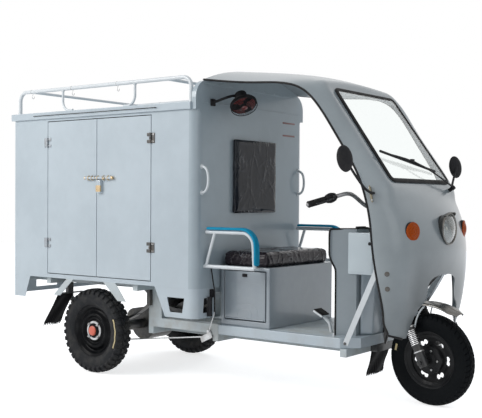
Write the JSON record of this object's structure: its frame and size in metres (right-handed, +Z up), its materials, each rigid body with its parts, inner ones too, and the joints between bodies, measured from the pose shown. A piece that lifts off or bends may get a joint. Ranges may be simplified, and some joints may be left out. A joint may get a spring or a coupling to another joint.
{
  "type": "enclosed electric cargo tricycle",
  "caption": "Electric cargo tricycle with a closed box body, an open-sided cab under one moulded roof and nose, a bench seat on a battery box, and a steered front wheel.",
  "frame": {"origin": "on the ground under the middle of the length and width", "axes": "+X forward, +Y to the rider's left, +Z up"},
  "size_m": [2.9922, 1.362, 1.8355],
  "materials": {
    "body_paint": "gloss light grey paint",
    "frame_paint": "light grey paint on welded tube",
    "moulding": "gloss light grey fibreglass moulding",
    "bright_tube": "white-grey painted tube",
    "black_metal": "black painted steel",
    "black_plastic": "black moulded plastic",
    "rubber": "black rubber",
    "tyre": "black tyre rubber",
    "glass": "clear laminated glass",
    "lamp_glass": "clear lamp cover over a reflector",
    "amber": "amber lens",
    "red_lens": "red lens",
    "chrome": "polished",
    "steel": "zinc-plated steel",
    "blue_foam": "cyan blue foam pad",
    "vinyl": "dark vinyl under clear wrap",
    "door_paint": "gloss light grey paint with brass bolt"
  },
  "bodies": {
    "chassis": {"chassis_frame": "frame_paint", "front_frame": "black_metal", "cab_floor": "body_paint", "arch_brackets": "frame_paint", "tail_skirt": "body_paint", "tail_lamps": "red_lens", "corner_skirts": "body_paint", "mud_flaps": "rubber", "leaf_springs": "black_metal", "rear_axle": "black_metal", "brake_linkage": "steel", "brake_pedal": "bright_tube", "charge_port": "black_plastic", "seat_box": "body_paint", "battery_pack": "black_plastic", "seat_cushion": "vinyl", "armrest_frames": "bright_tube", "armrest_pads": "blue_foam", "backrest_pad": "vinyl", "grab_handles": "bright_tube", "leg_shield": "body_paint", "storage_box": "body_paint", "shell_stays": "bright_tube", "cab_shell": "moulding", "windscreen": "glass", "windscreen_gasket": "rubber", "wiper": "black_plastic", "mirrors": "black_plastic", "headlamp": "lamp_glass", "direction_lamps": "amber", "fan": "black_plastic", "box_floor": "body_paint", "box_left_wall": "body_paint", "box_right_wall": "body_paint", "box_front_wall": "body_paint", "box_rear_frame": "body_paint", "box_roof": "body_paint", "roof_rack": "bright_tube"},
    "fork": {"fork": "black_metal", "front_fender": "chrome", "handlebar": "steel", "grips": "rubber"},
    "front_wheel": {"front_tyre": "tyre", "front_rim": "black_metal"},
    "rear_wheel_right": {"rear_tyre_right": "tyre", "rear_rim_right": "black_metal"},
    "rear_wheel_left": {"rear_tyre_left": "tyre", "rear_rim_left": "black_metal"},
    "side_door_rear": {"side_door_rear": "door_paint"},
    "side_door_front": {"side_door_front": "door_paint"},
    "rear_door_right": {"rear_door_right": "door_paint"},
    "rear_door_left": {"rear_door_left": "door_paint"},
    "seat_box_door": {"seat_box_door": "body_paint"}
  },
  "joints": [
    {"name": "steering", "type": "hinge", "parent": "chassis", "child": "fork", "pos_m": [1.239, 0, 0.242], "axis": [-0.3907, 0, 0.9205], "range_deg": [-29.2, 42.8]},
    {"name": "front_wheel_spin", "type": "hinge", "parent": "fork", "child": "front_wheel", "pos_m": [1.25391, -0.00163, 0.24196], "axis": [0.109, 0.993, 0.0463], "continuous": true},
    {"name": "rear_wheel_right_spin", "type": "hinge", "parent": "chassis", "child": "rear_wheel_right", "pos_m": [-0.791, -0.453, 0.26], "axis": [0, 1, 0], "continuous": true},
    {"name": "rear_wheel_left_spin", "type": "hinge", "parent": "chassis", "child": "rear_wheel_left", "pos_m": [-0.791, 0.453, 0.26], "axis": [0, 1, 0], "continuous": true},
    {"name": "side_door_rear_hinge", "type": "hinge", "parent": "chassis", "child": "side_door_rear", "pos_m": [-1.1525, -0.543, 1.1], "axis": [0, 0, -1], "range_deg": [0, 120]},
    {"name": "side_door_front_hinge", "type": "hinge", "parent": "chassis", "child": "side_door_front", "pos_m": [-0.2635, -0.543, 1.1], "axis": [0, 0, 1], "range_deg": [0, 120]},
    {"name": "rear_door_right_hinge", "type": "hinge", "parent": "chassis", "child": "rear_door_right", "pos_m": [-1.48, -0.5025, 1.1], "axis": [0, 0, 1], "range_deg": [0, 120]},
    {"name": "rear_door_left_hinge", "type": "hinge", "parent": "chassis", "child": "rear_door_left", "pos_m": [-1.48, 0.5025, 1.1], "axis": [0, 0, -1], "range_deg": [0, 120]},
    {"name": "seat_box_door_hinge", "type": "hinge", "parent": "chassis", "child": "seat_box_door", "pos_m": [0.259, -0.328, 0.404], "axis": [1, 0, 0], "range_deg": [0, 90]}
  ]
}
